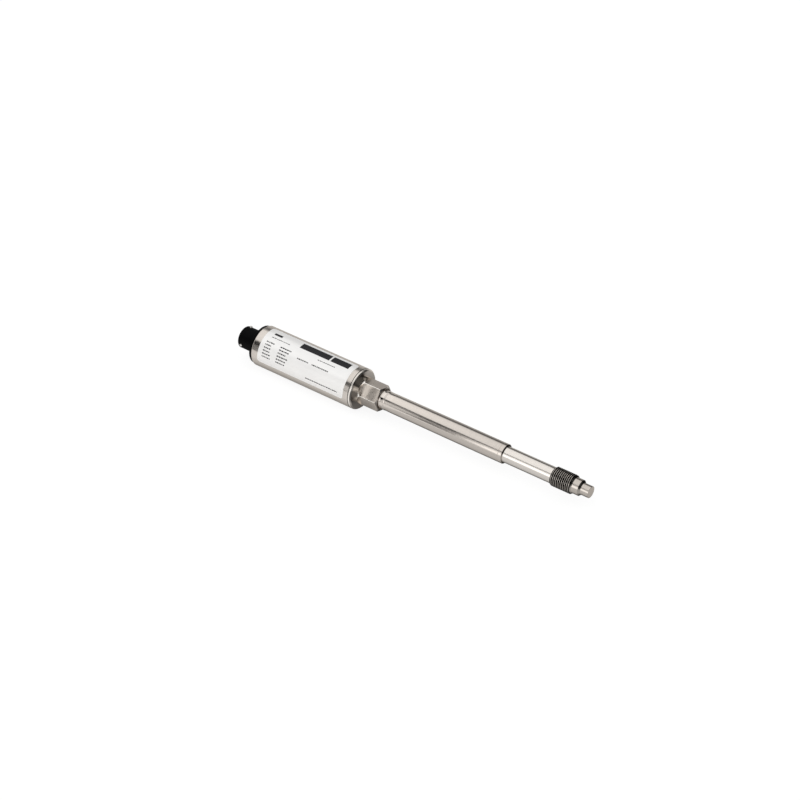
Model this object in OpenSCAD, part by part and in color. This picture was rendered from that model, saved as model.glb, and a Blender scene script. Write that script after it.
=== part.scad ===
// Melt pressure sensor with a rigid stem, in millimetres.
// X runs along the probe, with +X towards the process, and Z is up.
// The origin is on the axis, halfway along the process thread that holds the sensor.

/* [Probe tip] */
// Diameter of the diaphragm end
tip_d = 7.8; // [7.4:0.1:8.2]
// Length of the diaphragm end
tip_l = 5.56; // [4.5:0.02:7]
// Diameter of the sealing cylinder
seat_d = 10.5; // [10:0.05:10.8]
// Length of the sealing cylinder with its 45 degree cone
seat_l = 5.64; // [4:0.02:7]
// Outer diameter of the process thread
thread_d = 12.7; // [12.5:0.05:12.8]
// Pitch of the process thread
thread_pitch = 1.27; // [1:0.01:1.5]
// Length of the process thread
thread_l = 15.6; // [12:0.1:20]
// Diameter of the relieved neck behind the thread
neck_d = 10.67; // [10:0.01:11]
// Length of the relieved neck
neck_l = 35.2; // [20:0.1:60]
// Length of the collar at the rear of the neck, which the stem is welded to
collar_l = 3; // [2:0.1:6]
// Length of the spigot that enters the stem
tip_spigot_l = 6; // [4:0.5:10]
// Diameter of the passage for the capillary in the tip
passage_d = 3; // [2.4:0.1:4]
// Thickness of the flush diaphragm
diaphragm_t = 0.15; // [0.1:0.01:0.3]
// Width of the rim round the flush diaphragm
diaphragm_rim = 0.35; // [0.3:0.05:0.6]
// Depth of the filled space behind the flush diaphragm
fill_gap = 0.2; // [0.1:0.05:0.3]
// Diameter of the plug behind the flush diaphragm
plug_d = 5; // [4:0.1:6]
// Length of the plug
plug_l = 6; // [4:0.5:10]
// Outer diameter of the capillary
capillary_d = 1.6; // [1.2:0.1:2]
// Bore of the capillary
capillary_bore = 0.6; // [0.3:0.1:0.9]

/* [Stem] */
// Outer diameter of the stem
stem_d = 13; // [12.7:0.1:13.6]
// Wall of the stem
stem_wall = 1.25; // [0.8:0.05:1.5]
// Length of the stem from the hexagon to the neck
stem_l = 95; // [60:1:300]
// Depth of the socket in the hexagon that holds the stem
socket_l = 9; // [6:0.5:12]
// Chamfer at the front end of the stem
stem_chamfer = 0.5; // [0.2:0.1:1]

/* [Front body] */
// Width across the flats of the hexagon
hex_af = 16; // [15.8:0.1:18]
// Length of the bar that the hexagon is milled on, from the housing to the stem
hex_l = 16.6; // [14:0.1:22]
// Direction that one flat faces, in degrees from +Y towards +Z
hex_at = 137; // [0:1:359]
// Amount that the bar's round takes off the hexagon's corners
hex_corner_cut = 0.1; // [0.05:0.05:0.3]
// Distance from the housing to the rounded rear ends of the flats
flat_back = 1.7; // [1:0.1:4]
// Radius of the cutter that leaves the flats' rounded rear ends
cutter_r = 6.3; // [5.5:0.1:9]
// Length of the chamfer at the front of the hexagon
hex_chamfer = 0.9; // [0.4:0.1:1.5]
// Width of the weld groove round the stem
weld_groove_w = 0.6; // [0.3:0.1:0.8]
// Depth of the weld groove round the stem
weld_groove_l = 0.9; // [0.4:0.1:2]
// Length of the rim that closes the housing
rim_l = 2.2; // [1.6:0.1:4]
// Chamfer at the front edge of the rim
rim_chamfer = 1; // [0.3:0.1:1.2]
// Length of the spigot that enters the housing
front_spigot_l = 12; // [11:0.5:16]

/* [Housing] */
// Outer diameter of the housing
housing_d = 28; // [28:0.5:36]
// Wall of the housing
housing_wall = 1.2; // [1:0.1:1.2]
// Length of the housing with the rim of the front body
housing_l = 82; // [76:1:140]
// Rounding of the housing's rear edge
housing_edge = 0.6; // [0.2:0.1:0.7]
// Bevel on each side of the joint line behind the rim
joint_bevel = 0.25; // [0.1:0.05:0.3]
// Thickness of the rear cap
rear_cap_t = 4; // [3.5:0.1:6]
// Width of the shoulder in the housing that the rear cap rests on
rear_shoulder = 0.4; // [0.3:0.05:0.5]

/* [Label] */
// Length of the label along the housing
label_l = 70.5; // [40:0.5:72]
// Angle that the label covers round the housing
label_arc = 100; // [60:1:150]
// Direction of the label's middle, in degrees from +Y towards +Z
label_at = 136; // [0:1:359]
// Distance from the rear end of the housing to the label
label_gap = 5.4; // [3:0.1:6]
// Thickness of the label
label_t = 0.15; // [0.08:0.01:0.3]
// Radius of the label's corners
label_corner = 2; // [0.5:0.1:4]

/* [Connector] */
// Outer diameter of the connector barrel
barrel_d = 15.2; // [15:0.05:15.6]
// Length of the barrel behind the flange
barrel_l = 14.5; // [13.5:0.1:20]
// Wall of the barrel round the mating cavity
barrel_wall = 1.3; // [1.2:0.05:1.4]
// Depth of the mating cavity
cavity_l = 11.2; // [11:0.1:13]
// Chamfer at the rim of the barrel
barrel_edge = 0.6; // [0.3:0.1:0.6]
// Distance that the flange stands in from the housing's side
flange_step = 0.8; // [0.5:0.1:2]
// Thickness of the flange
flange_t = 2.3; // [1.6:0.1:3]
// Diameter of the part that passes through the rear cap
shank_d = 16.4; // [16.4:0.1:18]
// Distance that the shank stands out past its nut
shank_spare = 2.4; // [2:0.1:4]
// Space between the nut's rounded corners and the housing
nut_space = 0.85; // [0.5:0.05:1.5]
// Amount that the nut's corners are rounded off
nut_corner_cut = 0.4; // [0.2:0.1:0.6]
// Thickness of the nut
nut_t = 3; // [2:0.1:4]
// Diameter of the studs that a bayonet ring turns onto
stud_d = 1.9; // [1.5:0.1:2.2]
// Height of the studs above the barrel
stud_h = 1; // [0.6:0.1:1.2]
// Depth of the studs' holes in the barrel
stud_depth = 0.7; // [0.4:0.1:0.8]
// Distance from the barrel's rim to the middle of the studs
stud_back = 3.3; // [2.5:0.1:5]
// Direction of the first stud, in degrees from +Y towards +Z
stud_at = 66; // [50:0.1:90]
// Width of the narrow keyways in the mating cavity
keyway_w = 1.4; // [1:0.1:1.6]
// Width of the main keyway
main_keyway_w = 2.2; // [1.8:0.1:2.4]
// Depth of the keyways
keyway_depth = 0.4; // [0.3:0.05:0.4]
// Number of contacts
contact_count = 6; // [4:1:7]
// Diameter of the circle that the contacts stand on
contact_pcd = 6.6; // [6:0.1:7]
// Diameter of a contact in the mating cavity
contact_d = 1.02; // [0.8:0.02:1.2]
// Diameter of a contact inside the insert
contact_body_d = 1.6; // [1.4:0.05:1.8]
// Length of a contact in the mating cavity
contact_l = 5.8; // [5:0.1:6]
// Step between the cavity and the bore that holds the insert
insert_step = 0.6; // [0.5:0.05:0.7]
// Thickness of the snap ring behind the insert
snap_ring_t = 0.8; // [0.6:0.1:1]
// Depth of the snap ring's groove
snap_groove = 0.4; // [0.3:0.05:0.5]

/* [Seals] */
// Section of the seal between the housing and the front body
front_seal_d = 1.5; // [1.2:0.1:1.8]
// Distance from the housing's front end to the groove of that seal
front_seal_back = 3; // [2:0.1:5]
// Section of the seal between the housing and the rear cap
rear_seal_d = 1.3; // [1:0.1:1.5]
// Section of the seal under the connector flange
flange_seal_d = 1; // [0.8:0.1:1.2]

/* [Measuring capsule] */
// Diameter of the capsule
capsule_d = 15; // [14:0.1:15.4]
// Thickness of the capsule's base
capsule_base_t = 4; // [3:0.1:5]
// Thickness of the ring that holds the capsule
capsule_ring_t = 3; // [2:0.1:4]
// Length of the capsule's cup
cup_l = 5; // [4:0.1:5]
// Inner diameter of the cup
cup_bore = 10; // [9:0.1:10.5]
// Thickness of the measuring diaphragm
measuring_t = 0.8; // [0.4:0.1:1.2]
// Diameter of the pressure pocket in the base
pocket_d = 9; // [7:0.1:9.5]
// Depth of the pressure pocket in the base
pocket_t = 0.3; // [0.2:0.05:0.5]
// Diameter of the strain gauge
gauge_d = 8.4; // [7:0.1:8.6]
// Thickness of the strain gauge
gauge_t = 0.15; // [0.1:0.05:0.3]
// Diameter of the gauge leads
lead_d = 0.4; // [0.3:0.05:0.6]
// Distance of the gauge leads from the axis
lead_r = 2.8; // [2:0.1:3.4]

/* [Electronics] */
// Thickness of the circuit boards
board_t = 1.6; // [1:0.1:2]
// Diameter of the two round boards
round_board_d = 22.6; // [22.4:0.1:23.4]
// Width of the amplifier board
amplifier_w = 18; // [17:0.5:18]
// Width of the tabs that join the boards
tab_w = 3; // [2:0.5:3]
// Width across the flats of the standoffs
standoff_af = 4; // [3.5:0.1:4]
// Diameter of the standoffs' studs and of the board screws
screw_d = 2.5; // [2:0.1:2.5]
// Distance of the standoffs from the axis
standoff_r = 9.4; // [9.3:0.05:9.5]
// Depth of a standoff's stud in the front body
stud_reach = 4.5; // [3:0.5:6]
// Length of the board screws below their heads
screw_l = 6; // [5:0.5:10]
// Diameter of the board screws' heads
screw_head_d = 4.2; // [4:0.1:4.4]
// Height of the board screws' heads
screw_head_t = 1.5; // [1:0.1:1.6]
// Distance from the connector's shank to the board behind it
tail_gap = 2.4; // [2.2:0.1:4]
// Length of a contact's tail past its board
tail_l = 0.8; // [0.5:0.1:1.5]
// Length of an amplifier chip
chip_l = 8; // [5:0.5:9]
// Width of an amplifier chip
chip_w = 6; // [4:0.5:8]
// Height of an amplifier chip
chip_t = 1.7; // [1:0.1:2.5]
// Side of a trimmer
trimmer_w = 6.2; // [5:0.1:6.5]
// Height of a trimmer
trimmer_t = 4.4; // [3:0.1:4.6]
// Diameter of a capacitor
capacitor_d = 5; // [4:0.5:6]
// Height of a capacitor
capacitor_t = 5; // [3:0.1:5.2]

/* [Clearances] */
// Clearance on the radius between turned pieces that fit together
slip = 0.05; // [0.02:0.01:0.1]
// Clearance round what passes through a board
board_slip = 0.1; // [0.05:0.01:0.15]

/* [Hidden] */
steel = [0.75, 0.72, 0.68];
bright_steel = [0.82, 0.81, 0.79];
black = [0.09, 0.09, 0.1];
seal_black = [0.14, 0.14, 0.14];
label_white = [0.93, 0.92, 0.95];
board_green = [0.1, 0.38, 0.22];
contact_gold = [0.83, 0.67, 0.33];
film_amber = [0.76, 0.52, 0.16];
wire_red = [0.7, 0.16, 0.12];
trimmer_blue = [0.12, 0.3, 0.66];
round_fn = 96;
small_fn = 32;

// Where each stretch begins and ends along the axis.
thread_front = thread_l / 2;
seat_end = thread_front + seat_l;
tip_end = seat_end + tip_l;
neck_front = -thread_l / 2;
stem_front = neck_front - neck_l;
hex_face = stem_front - stem_l;
cap_face = hex_face - hex_l;
tube_front = cap_face - rim_l;
front_body_rear = tube_front - front_spigot_l;
tube_rear = cap_face - housing_l;
flange_face = tube_rear - flange_t;
barrel_rim = flange_face - barrel_l;
insert_face = barrel_rim + cavity_l;
rear_cap_front = tube_rear + rear_cap_t;
shank_front = rear_cap_front + nut_t + shank_spare;
rear_board_x = shank_front + tail_gap;
rear_board_front = rear_board_x + board_t;
front_board_rear = front_body_rear - board_t;

// Radii that more than one piece shares.
stem_bore_r = stem_d / 2 - stem_wall;
housing_bore_r = housing_d / 2 - housing_wall;
rear_seat_r = housing_bore_r + rear_shoulder;
cavity_r = barrel_d / 2 - barrel_wall;
insert_bore_r = cavity_r + insert_step;
capsule_bore_r = capsule_d / 2 + slip;
hex_corner_r = hex_af / sqrt(3);
flange_r = housing_d / 2 - flange_step;
flange_seal_r = (shank_d / 2 + flange_r) / 2;
nut_round_r = housing_bore_r - nut_space;
nut_af = (nut_round_r + nut_corner_cut) * sqrt(3);

// The capsule and its ring fill their bore in the front body from the inside outwards.
capsule_rear = front_body_rear + capsule_ring_t;
capsule_joint = capsule_rear + cup_l;
capsule_front = capsule_joint + capsule_base_t;
measuring_face = capsule_joint - measuring_t;

// Basic 60 degree thread: the crests and the roots are an eighth and a quarter of the pitch wide.
thread_depth = 0.6134 * thread_pitch;
crest_w = thread_pitch / 8;
root_w = thread_pitch / 4;
flank_w = (thread_pitch - crest_w - root_w) / 2;
thread_root_r = thread_d / 2 - thread_depth;
thread_run_out = thread_root_r - seat_d / 2;
thread_count = floor((thread_l - thread_run_out) / thread_pitch);

// The snap ring's groove stands this far back from the end of the shank.
snap_groove_back = 1;
snap_groove_front = shank_front - snap_groove_back;
snap_groove_rear = snap_groove_front - snap_ring_t;

// A seal's groove is this much wider than the seal's section.
groove_share = 1.3;

// Directions of the narrow keyways, from the main one.
keyway_angles = [105, 140, 215, 265];

// Turns a profile of [radius, x] points round the X axis.
module turned(points) {
    rotate([0, 90, 0])
        rotate_extrude($fn = round_fn)
            polygon(points);
}

// A straight round rod or bore along X, between two places.
module rod(d, from, to) {
    translate([min(from, to), 0, 0])
        rotate([0, 90, 0])
            cylinder(d = d, h = abs(to - from), $fn = d > 4 ? round_fn : small_fn);
}

// A hexagonal bar along X whose first flat faces the direction facing.
module hex_bar(af, from, to, facing) {
    translate([min(from, to), 0, 0])
        rotate([0, 90, 0])
            rotate([0, 0, facing + 60])
                cylinder(r = af / sqrt(3), h = abs(to - from), $fn = 6);
}

// A ring of round section centred on the axis.
module round_ring(middle_r, section_d, x) {
    translate([x, 0, 0])
        rotate([0, 90, 0])
            rotate_extrude($fn = round_fn)
                translate([middle_r, 0])
                    circle(d = section_d, $fn = small_fn);
}

// Puts children at a distance from the axis in a direction given in degrees from +Y towards +Z.
module at_angle(a, r) {
    rotate([a, 0, 0])
        translate([0, r, 0])
            children();
}

// One tooth of the thread, from the middle of a root. The end chamfers lower the first and last crest.
function tooth(i) = let (
    x = neck_front + i * thread_pitch,
    lowered = i == 0 || i == thread_count - 1 ? thread_depth * 0.4 : 0,
    crest_r = thread_d / 2 - lowered,
    slope = flank_w * (1 - lowered / thread_depth)
) [
    [thread_root_r, x],
    [thread_root_r, x + root_w / 2],
    [crest_r, x + root_w / 2 + slope],
    [crest_r, x + thread_pitch - root_w / 2 - slope],
    [thread_root_r, x + thread_pitch - root_w / 2]
];

function thread_points() = [
    for (i = [0 : thread_count - 1])
        for (p = tooth(i)) p
];

module probe_tip() {
    seat_r = seat_d / 2;
    cone_l = (seat_d - tip_d) / 2;
    edge = 0.3;
    pocket_r = plug_d / 2 + slip;
    disc_r = tip_d / 2 - diaphragm_rim;
    disc_x = tip_end - diaphragm_t;
    spigot_rear = stem_front - collar_l - tip_spigot_l;
    color(steel)
        difference() {
            turned(concat(
                [[0, spigot_rear], [stem_bore_r - slip - edge, spigot_rear],
                    [stem_bore_r - slip, spigot_rear + edge],
                    [stem_bore_r - slip, stem_front - collar_l],
                    [stem_d / 2, stem_front - collar_l],
                    [stem_d / 2, stem_front - stem_chamfer],
                    [stem_d / 2 - stem_chamfer, stem_front],
                    [neck_d / 2, stem_front],
                    [neck_d / 2, neck_front]],
                thread_points(),
                [[thread_root_r, thread_front - thread_run_out],
                    [seat_r, thread_front],
                    [seat_r, seat_end - cone_l], [tip_d / 2, seat_end],
                    [tip_d / 2, tip_end - edge], [tip_d / 2 - edge, tip_end],
                    [0, tip_end]]));
            rod(2 * disc_r + 2 * slip, disc_x, tip_end + 1);
            rod(2 * pocket_r, disc_x - fill_gap - plug_l, disc_x + 1);
            rod(passage_d, spigot_rear - 1, disc_x);
        }
}

module tip_diaphragm() {
    color(bright_steel)
        rod(tip_d - 2 * diaphragm_rim, tip_end - diaphragm_t, tip_end);
}

module tip_plug() {
    face = tip_end - diaphragm_t - fill_gap;
    color(bright_steel)
        difference() {
            rod(plug_d, face - plug_l, face);
            rod(capillary_d + 2 * slip, face - plug_l - 1, face + 1);
        }
}

module capillary_tube() {
    front = tip_end - diaphragm_t - fill_gap;
    rear = capsule_joint + pocket_t;
    color(bright_steel)
        difference() {
            rod(capillary_d, rear, front);
            rod(capillary_bore, rear - 1, front + 1);
        }
}

module stem_tube() {
    front = stem_front - collar_l;
    rear = hex_face - socket_l;
    color(steel)
        difference() {
            rod(stem_d, rear, front);
            rod(2 * stem_bore_r, rear - 1, front + 1);
        }
}

// The rim, the spigot inside the housing and the hexagon are turned and milled from one bar.
module front_body() {
    groove_r = housing_bore_r - front_seal_d;
    groove_w = front_seal_d * groove_share;
    groove_x = tube_front - front_seal_back;
    spigot_r = housing_bore_r - slip;
    edge = 0.4;
    bar_r = hex_corner_r - hex_corner_cut;
    color(steel)
        difference() {
            union() {
                turned([[0, front_body_rear], [spigot_r - edge, front_body_rear],
                    [spigot_r, front_body_rear + edge],
                    [spigot_r, groove_x - groove_w], [groove_r, groove_x - groove_w],
                    [groove_r, groove_x], [spigot_r, groove_x],
                    [spigot_r, tube_front],
                    [housing_d / 2 - joint_bevel, tube_front],
                    [housing_d / 2, tube_front + joint_bevel],
                    [housing_d / 2, cap_face - rim_chamfer],
                    [housing_d / 2 - rim_chamfer, cap_face], [0, cap_face]]);
                difference() {
                    turned([[0, cap_face - 1], [bar_r, cap_face - 1],
                        [bar_r, hex_face - hex_chamfer],
                        [bar_r - hex_chamfer * tan(60), hex_face], [0, hex_face]]);
                    for (i = [0 : 5])
                        at_angle(hex_at + 60 * i, hex_af / 2)
                            flat_cut();
                }
            }
            rod(stem_d + 2 * slip, hex_face - socket_l, hex_face + 1);
            rod(stem_d + 2 * weld_groove_w, hex_face - weld_groove_l, hex_face + 1);
            rod(passage_d, front_body_rear - 1, hex_face);
            rod(2 * capsule_bore_r, front_body_rear - 1, capsule_front);
            for (a = [0, 180])
                at_angle(a, standoff_r)
                    rod(screw_d + 2 * slip, front_body_rear - 1, front_body_rear + stud_reach + slip);
        }
}

// What the cutter takes away beyond one flat, with the round that it leaves at the flat's rear end.
module flat_cut() {
    centre = cap_face + flat_back + cutter_r;
    translate([0, hex_af / 2, 0])
        rotate([90, 0, 0])
            linear_extrude(hex_af / 2)
                union() {
                    translate([centre, 0])
                        circle(r = cutter_r, $fn = round_fn);
                    translate([centre, -cutter_r])
                        square([hex_l, 2 * cutter_r]);
                }
}

module front_seal() {
    groove_x = tube_front - front_seal_back;
    color(seal_black)
        round_ring(housing_bore_r - front_seal_d / 2, front_seal_d,
            groove_x - front_seal_d * groove_share / 2);
}

module housing_tube() {
    r = housing_d / 2;
    e = housing_edge;
    round_edge = [for (a = [0 : 15 : 90]) [r - e + e * sin(a), tube_rear + e - e * cos(a)]];
    color(steel)
        turned(concat(
            [[rear_seat_r, tube_rear]],
            round_edge,
            [[r, tube_front - joint_bevel], [r - joint_bevel, tube_front],
                [housing_bore_r, tube_front],
                [housing_bore_r, rear_cap_front], [rear_seat_r, rear_cap_front]]));
}

// Outline of the label seen along its middle direction, with corners that are round once it is flat.
function label_outline(r, middle) = [
    for (q = [0 : 3])
        for (a = [0 : 15 : 90])
            let (
                turn = 90 * q + a,
                end = q == 0 || q == 3 ? 1 : -1,
                side = q < 2 ? 1 : -1,
                half_arc = r * label_arc / 2 * PI / 180,
                along = end * (label_l / 2 - label_corner) + label_corner * cos(turn),
                round_it = side * (half_arc - label_corner) + label_corner * sin(turn)
            )
            [middle + along, r * sin(round_it / r * 180 / PI)]
];

module label() {
    r = housing_d / 2;
    rear = tube_rear + label_gap;
    color(label_white)
        intersection() {
            difference() {
                rod(2 * (r + label_t), rear - 1, rear + label_l + 1);
                rod(2 * r, rear - 2, rear + label_l + 2);
            }
            rotate([label_at - 90, 0, 0])
                linear_extrude(r + 1)
                    polygon(label_outline(r, rear + label_l / 2));
        }
}

module rear_cap() {
    r = rear_seat_r - slip;
    groove_r = rear_seat_r - rear_seal_d;
    groove_w = rear_seal_d * groove_share;
    groove_x = tube_rear + rear_cap_t / 2 + groove_w / 2;
    edge = 0.2;
    color(steel)
        difference() {
            turned([[0, tube_rear], [r - edge, tube_rear], [r, tube_rear + edge],
                [r, groove_x - groove_w], [groove_r, groove_x - groove_w],
                [groove_r, groove_x], [r, groove_x],
                [r, rear_cap_front], [0, rear_cap_front]]);
            rod(shank_d + 2 * slip, tube_rear - 1, rear_cap_front + 1);
        }
}

module rear_seal() {
    color(seal_black)
        round_ring(rear_seat_r - rear_seal_d / 2, rear_seal_d, tube_rear + rear_cap_t / 2);
}

// The receptacle: a barrel with keyways and studs, a flange and a shank through the rear cap.
module connector_shell() {
    bore_edge = 0.2;
    flange_edge = 0.3;
    barrel_r = barrel_d / 2;
    seal_half = flange_seal_d * groove_share / 2;
    color(black)
        difference() {
            turned([[0, barrel_rim], [barrel_r - barrel_edge, barrel_rim],
                [barrel_r, barrel_rim + barrel_edge],
                [barrel_r, flange_face],
                [flange_r - flange_edge, flange_face],
                [flange_r, flange_face + flange_edge],
                [flange_r, tube_rear - flange_edge],
                [flange_r - flange_edge, tube_rear],
                [shank_d / 2, tube_rear],
                [shank_d / 2, shank_front - bore_edge],
                [shank_d / 2 - bore_edge, shank_front], [0, shank_front]]);
            rod(2 * cavity_r, barrel_rim - 1, insert_face + 1);
            turned([[0, barrel_rim - 1], [cavity_r + bore_edge + 1, barrel_rim - 1],
                [cavity_r, barrel_rim + bore_edge], [0, barrel_rim + bore_edge]]);
            rod(2 * insert_bore_r, insert_face, shank_front + 1);
            rod(2 * (insert_bore_r + snap_groove), snap_groove_rear, snap_groove_front);
            turned([[flange_seal_r - seal_half, tube_rear - flange_seal_d],
                [flange_seal_r + seal_half, tube_rear - flange_seal_d],
                [flange_seal_r + seal_half, tube_rear + 1],
                [flange_seal_r - seal_half, tube_rear + 1]]);
            keyway(stud_at + 60, main_keyway_w);
            for (a = keyway_angles)
                keyway(stud_at + 60 + a, keyway_w);
            bayonet_places()
                translate([0, -stud_depth, 0])
                    rotate([-90, 0, 0])
                        cylinder(d = stud_d, h = stud_depth + 1, $fn = small_fn);
        }
}

// A keyway runs from the rim into the bore that holds the insert, which reaches further out.
module keyway(a, w) {
    at_angle(a, 0)
        translate([barrel_rim - 1, cavity_r - 1, -w / 2])
            cube([cavity_l + 2, 1 + keyway_depth, w]);
}

// Puts children on the barrel's surface at each of its three studs.
module bayonet_places() {
    for (i = [0 : 2])
        at_angle(stud_at + 120 * i, barrel_d / 2)
            translate([barrel_rim + stud_back, 0, 0])
                children();
}

module bayonet_studs() {
    edge = 0.25;
    color(bright_steel)
        bayonet_places()
            translate([0, -stud_depth, 0])
                rotate([-90, 0, 0])
                    rotate_extrude($fn = small_fn)
                        polygon([[0, 0], [stud_d / 2, 0], [stud_d / 2, stud_depth + stud_h - edge],
                            [stud_d / 2 - edge, stud_depth + stud_h], [0, stud_depth + stud_h]]);
}

module connector_gasket() {
    color(seal_black)
        round_ring(flange_seal_r, flange_seal_d, tube_rear - flange_seal_d / 2);
}

module connector_nut() {
    edge = 0.5;
    color(bright_steel)
        difference() {
            intersection() {
                hex_bar(nut_af, rear_cap_front, rear_cap_front + nut_t, hex_at);
                turned([[0, rear_cap_front], [nut_round_r - edge, rear_cap_front],
                    [nut_round_r, rear_cap_front + edge],
                    [nut_round_r, rear_cap_front + nut_t - edge],
                    [nut_round_r - edge, rear_cap_front + nut_t], [0, rear_cap_front + nut_t]]);
            }
            rod(shank_d + 2 * slip, rear_cap_front - 1, rear_cap_front + nut_t + 1);
        }
}

// Puts children on the circle of contacts.
module contact_places() {
    for (i = [0 : contact_count - 1])
        at_angle(stud_at + 60 + (i + 0.5) * 360 / contact_count, contact_pcd / 2)
            children();
}

module connector_insert() {
    color(black)
        difference() {
            rod(2 * (insert_bore_r - slip), insert_face, snap_groove_rear);
            contact_places()
                rod(contact_body_d + 2 * slip, insert_face - 1, snap_groove_rear + 1);
        }
}

module contact_pins() {
    nose = 0.35;
    tip_x = insert_face - contact_l;
    board_gap = 0.5;
    body_front = rear_board_x - board_gap;
    tail = rear_board_front + tail_l;
    color(contact_gold)
        contact_places()
            turned([[0, tip_x], [contact_d / 2 - nose, tip_x], [contact_d / 2, tip_x + nose],
                [contact_d / 2, insert_face], [contact_body_d / 2, insert_face],
                [contact_body_d / 2, body_front], [contact_d / 2, body_front],
                [contact_d / 2, tail], [0, tail]]);
}

module insert_snap_ring() {
    gap = 40;
    reach = 0.9;
    inner_r = insert_bore_r - reach;
    outer_r = insert_bore_r + snap_groove - slip;
    color(bright_steel)
        rotate([gap / 2, 0, 0])
            rotate([0, 90, 0])
                rotate([0, 0, 90])
                    rotate_extrude(angle = 360 - gap, $fn = round_fn)
                        translate([inner_r, snap_groove_rear])
                            square([outer_r - inner_r, snap_ring_t]);
}

module capsule_base() {
    color(bright_steel)
        difference() {
            rod(capsule_d, capsule_joint, capsule_front);
            rod(pocket_d, capsule_joint - 1, capsule_joint + pocket_t);
            rod(capillary_d + 2 * slip, capsule_joint, capsule_front + 1);
        }
}

module sensing_cup() {
    color(steel)
        difference() {
            rod(capsule_d, capsule_rear, capsule_joint);
            rod(cup_bore, capsule_rear - 1, measuring_face);
        }
}

module capsule_ring() {
    slot_w = 1.2;
    slot_l = 1;
    color(steel)
        difference() {
            rod(capsule_d, front_body_rear, capsule_rear);
            rod(cup_bore, front_body_rear - 1, capsule_rear + 1);
            translate([front_body_rear - 1, -slot_w / 2, -capsule_d])
                cube([slot_l + 1, slot_w, 2 * capsule_d]);
        }
}

module strain_gauge() {
    color(film_amber)
        rod(gauge_d, measuring_face - gauge_t, measuring_face);
}

// Puts children where each of the four gauge leads runs.
module lead_places() {
    for (a = [45 : 90 : 315])
        at_angle(a, lead_r)
            children();
}

module gauge_leads() {
    lead_end = 0.5;
    color(wire_red)
        lead_places()
            rod(lead_d, front_board_rear - lead_end, measuring_face - gauge_t);
}

// One of the round boards, with its slots for the tabs and its holes for the screws.
module round_board(rear) {
    difference() {
        rod(round_board_d, rear, rear + board_t);
        for (side = [-1, 1])
            translate([rear - 1, -board_t / 2 - board_slip, side * tab_z() - tab_w / 2 - board_slip])
                cube([board_t + 2, board_t + 2 * board_slip, tab_w + 2 * board_slip]);
        for (a = [0, 180])
            at_angle(a, standoff_r)
                rod(screw_d + 2 * board_slip, rear - 1, rear + board_t + 1);
        children();
    }
}

function tab_z() = amplifier_w / 2 - tab_w / 2;

module gauge_board() {
    color(board_green)
        round_board(front_board_rear)
            lead_places()
                rod(lead_d + 2 * board_slip, front_board_rear - 1, front_body_rear + 1);
}

module connector_board() {
    color(board_green)
        round_board(rear_board_x)
            contact_places()
                rod(contact_d + 2 * board_slip, rear_board_x - 1, rear_board_front + 1);
}

// The board has a notch at its rear edge, which keeps it clear of the contacts' tails.
module amplifier_board() {
    tail_space = 0.4;
    notch_w = contact_pcd + contact_d + 4 * tail_space;
    notch_l = tail_l + tail_space;
    color(board_green)
        difference() {
            union() {
                translate([rear_board_front, -board_t / 2, -amplifier_w / 2])
                    cube([front_board_rear - rear_board_front, board_t, amplifier_w]);
                for (side = [-1, 1])
                    translate([rear_board_x, -board_t / 2, side * tab_z() - tab_w / 2])
                        cube([front_body_rear - rear_board_x, board_t, tab_w]);
            }
            translate([rear_board_front - 1, -board_t, -notch_w / 2])
                cube([notch_l + 1, 2 * board_t, notch_w]);
        }
}

module standoffs() {
    thread_space = 0.5;
    color(bright_steel)
        for (a = [0, 180])
            at_angle(a, standoff_r)
                difference() {
                    union() {
                        hex_bar(standoff_af, rear_board_front, front_board_rear, 90);
                        rod(screw_d, front_board_rear - 1, front_body_rear + stud_reach);
                    }
                    rod(screw_d + 2 * slip, rear_board_front - 1,
                        rear_board_front + screw_l - board_t + thread_space);
                }
}

module board_screws() {
    recess_d = screw_head_d * 0.45;
    recess_l = screw_head_t * 0.6;
    head_rear = rear_board_x - screw_head_t;
    color(bright_steel)
        for (a = [0, 180])
            at_angle(a, standoff_r)
                difference() {
                    union() {
                        rod(screw_head_d, head_rear, rear_board_x);
                        rod(screw_d, head_rear + 1, rear_board_x + screw_l);
                    }
                    translate([head_rear - 1, 0, 0])
                        rotate([0, 90, 0])
                            cylinder(d = recess_d, h = recess_l + 1, $fn = 6);
                }
}

// Where a part on the amplifier board stands, as a share of the board's free length.
function board_place(share) = rear_board_front + share * (front_board_rear - rear_board_front);

module amplifier_chips() {
    color(black)
        for (share = [0.45, 0.65, 0.85])
            translate([board_place(share) - chip_l / 2, board_t / 2, -chip_w / 2])
                cube([chip_l, chip_t, chip_w]);
}

module trimmers() {
    screw_head = 2.2;
    screw_sunk = 0.3;
    slot_w = 0.5;
    slot_t = 0.6;
    middle_gap = 0.6;
    color(trimmer_blue)
        for (z = [-1, 1])
            translate([board_place(0.15), board_t / 2, z * (trimmer_w / 2 + middle_gap)])
                difference() {
                    translate([-trimmer_w / 2, 0, -trimmer_w / 2])
                        cube([trimmer_w, trimmer_t, trimmer_w]);
                    translate([0, trimmer_t + 1, 0])
                        rotate([90, 0, 0])
                            cylinder(d = screw_head, h = 1 + screw_sunk, $fn = small_fn);
                    translate([-screw_head / 2, trimmer_t - slot_t, -slot_w / 2])
                        cube([screw_head, 1, slot_w]);
                }
}

module capacitors() {
    edge = 0.3;
    color(bright_steel)
        for (share = [0.2, 0.4])
            translate([board_place(share), -board_t / 2, 0])
                rotate([90, 0, 0])
                    rotate_extrude($fn = round_fn)
                        polygon([[0, 0], [capacitor_d / 2, 0],
                            [capacitor_d / 2, capacitor_t - edge],
                            [capacitor_d / 2 - edge, capacitor_t], [0, capacitor_t]]);
}

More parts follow.
